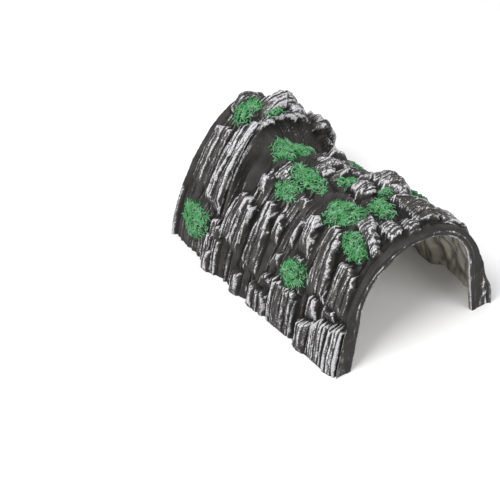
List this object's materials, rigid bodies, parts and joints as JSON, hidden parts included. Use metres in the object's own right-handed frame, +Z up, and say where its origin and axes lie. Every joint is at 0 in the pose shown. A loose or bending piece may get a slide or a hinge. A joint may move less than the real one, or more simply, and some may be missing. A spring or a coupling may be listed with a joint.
{
  "type": "resin cave ornament",
  "caption": "Hollow rock tunnel with an open portal at each end, rising to a jagged summit, with tufts of green moss on its ledges.",
  "frame": {"origin": "on the ground, under the middle of the shell's length and width", "axes": "+Y along the tunnel from the low front portal to the high summit end, +X towards the right wall, +Z up"},
  "size_m": [0.1849, 0.22, 0.1322],
  "materials": {
    "rock": "matt charcoal resin, dry-brushed pale grey on its edges and ribs",
    "moss": "short curly static-grass fibre, mid green with light tips"
  },
  "bodies": {
    "root": {"rock_shell": "rock", "moss_summit_left": "moss", "moss_summit_notch": "moss", "moss_cirque": "moss", "moss_saddle_mid": "moss", "moss_saddle_left": "moss", "moss_ridge_small": "moss", "moss_rear_foot": "moss", "moss_long_shelf": "moss", "moss_crown": "moss", "moss_crown_small": "moss", "moss_front_ledge": "moss", "moss_low_boulder": "moss", "moss_right_shoulder": "moss", "moss_right_foot": "moss", "moss_right_saddle": "moss", "moss_right_front": "moss", "moss_right_rear": "moss"}
  },
  "joints": []
}
